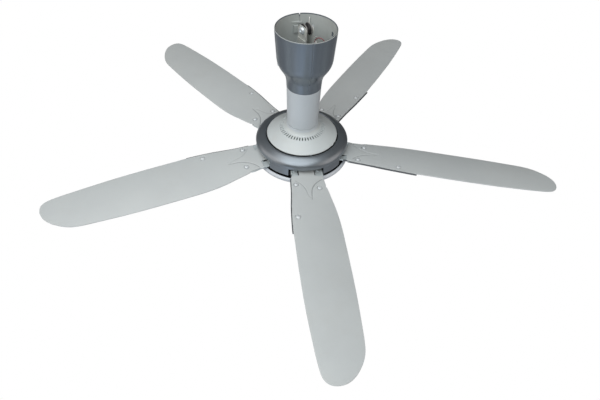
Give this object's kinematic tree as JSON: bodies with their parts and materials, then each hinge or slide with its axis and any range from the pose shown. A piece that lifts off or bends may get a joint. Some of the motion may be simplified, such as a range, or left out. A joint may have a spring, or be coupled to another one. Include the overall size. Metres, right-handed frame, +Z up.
{
  "type": "ceiling fan",
  "caption": "Hook-hung ceiling fan with a cup canopy, slotted motor cover and wide pitched blades screwed to brackets on an outer-rotor hub.",
  "frame": {"origin": "on the fan's axis, at the underside of the rubber roller's groove, where the ceiling hook bears", "axes": "+Z up along the fan's axis, +X along the roller bolt, away from its head"},
  "size_m": [1.4182, 1.4068, 0.4502],
  "materials": {
    "galvanized_steel": "dull galvanized, light grey-green cast",
    "zinc_hardware": "bright zinc plate",
    "roller_rubber": "black moulded rubber, satin",
    "sleeve_steel": "turned steel",
    "canopy_paint": "metallic blue-grey satin paint outside, bare light grey-green plastic inside",
    "tube_plastic": "light blue-grey moulded plastic, semi-gloss",
    "top_cover_plastic": "off-white moulded plastic, semi-gloss",
    "ring_paint": "metallic blue-grey satin paint",
    "blade_plastic": "light grey moulded plastic, soft sheen",
    "bracket_paint": "grey-green painted steel",
    "dish_plastic": "light blue-grey moulded plastic, semi-gloss",
    "cast_aluminium": "die-cast, matt",
    "coupler_iron": "cast iron, painted",
    "core_steel": "stacked laminations",
    "insulator_plastic": "cream moulded plastic",
    "copper_wire": "enamelled copper wire",
    "board_laminate": "green solder mask",
    "component_plastic": "black moulded parts",
    "magnet_ferrite": "sintered ferrite",
    "bearing_steel": "ground and polished",
    "cage_brass": "pressed brass",
    "lead_red": "red insulation",
    "lead_black": "black insulation",
    "terminal_plastic": "white moulded plastic"
  },
  "bodies": {
    "hanger": {"hanger_clevis": "galvanized_steel", "downrod": "galvanized_steel", "bottom_bracket": "galvanized_steel", "roller_bolt": "zinc_hardware", "roller_nut": "zinc_hardware", "hanger_cross_bolt": "zinc_hardware", "hanger_cross_nut": "zinc_hardware", "hanger_set_screw": "zinc_hardware", "coupler_cross_bolt": "zinc_hardware", "coupler_cross_nut": "zinc_hardware", "board_screws": "zinc_hardware", "shaft_nut": "zinc_hardware", "bottom_cover_screws": "zinc_hardware", "motor_shaft": "sleeve_steel", "tube_cover": "tube_plastic", "top_cover": "top_cover_plastic", "bottom_cover": "dish_plastic", "shaft_coupler": "coupler_iron", "stator_core": "core_steel", "stator_insulator": "insulator_plastic", "stator_windings": "copper_wire", "control_board": "board_laminate", "board_components": "component_plastic", "upper_bearing_inner": "bearing_steel", "lower_bearing_inner": "bearing_steel", "live_lead": "lead_red", "neutral_lead": "lead_black", "terminal_block": "terminal_plastic"},
    "rotor": {"upper_bearing_outer": "bearing_steel", "lower_bearing_outer": "bearing_steel", "rotor_lid": "cast_aluminium", "rotor_base": "cast_aluminium", "rotor_yoke": "core_steel", "rotor_magnets": "magnet_ferrite", "rotor_lid_screws": "zinc_hardware", "ring_cover": "ring_paint", "ring_cover_screws": "zinc_hardware", "blade_bracket_1": "bracket_paint", "blade_bracket_2": "bracket_paint", "blade_bracket_3": "bracket_paint", "blade_bracket_4": "bracket_paint", "blade_bracket_5": "bracket_paint", "blade_1": "blade_plastic", "blade_2": "blade_plastic", "blade_3": "blade_plastic", "blade_4": "blade_plastic", "blade_5": "blade_plastic", "bracket_screws": "zinc_hardware", "blade_screws": "zinc_hardware"},
    "roller": {"rubber_roller": "roller_rubber", "roller_sleeve": "sleeve_steel"},
    "canopy": {"canopy_half_left": "canopy_paint", "canopy_half_right": "canopy_paint", "canopy_screw": "zinc_hardware"},
    "upper_cage": {"upper_bearing_balls": "bearing_steel", "upper_bearing_cage": "cage_brass"},
    "lower_cage": {"lower_bearing_balls": "bearing_steel", "lower_bearing_cage": "cage_brass"}
  },
  "joints": [
    {"name": "rotor_spin", "type": "hinge", "parent": "hanger", "child": "rotor", "pos_m": [0, 0, -0.3335], "axis": [0, 0, 1], "continuous": true},
    {"name": "roller_spin", "type": "hinge", "parent": "hanger", "child": "roller", "pos_m": [0, 0, 0.011], "axis": [1, 0, 0], "continuous": true},
    {"name": "canopy_lift", "type": "slide", "parent": "hanger", "child": "canopy", "axis": [0, 0, 1], "range_m": [0, 0.04]},
    {"name": "upper_cage_spin", "type": "hinge", "parent": "hanger", "child": "upper_cage", "pos_m": [0, 0, -0.3245], "axis": [0, 0, 1], "continuous": true},
    {"name": "lower_cage_spin", "type": "hinge", "parent": "hanger", "child": "lower_cage", "pos_m": [0, 0, -0.3835], "axis": [0, 0, 1], "continuous": true}
  ],
  "couplings": [
    {"joint": "upper_cage_spin", "follows": "rotor_spin", "ratio": 0.6182},
    {"joint": "lower_cage_spin", "follows": "rotor_spin", "ratio": 0.6182}
  ]
}
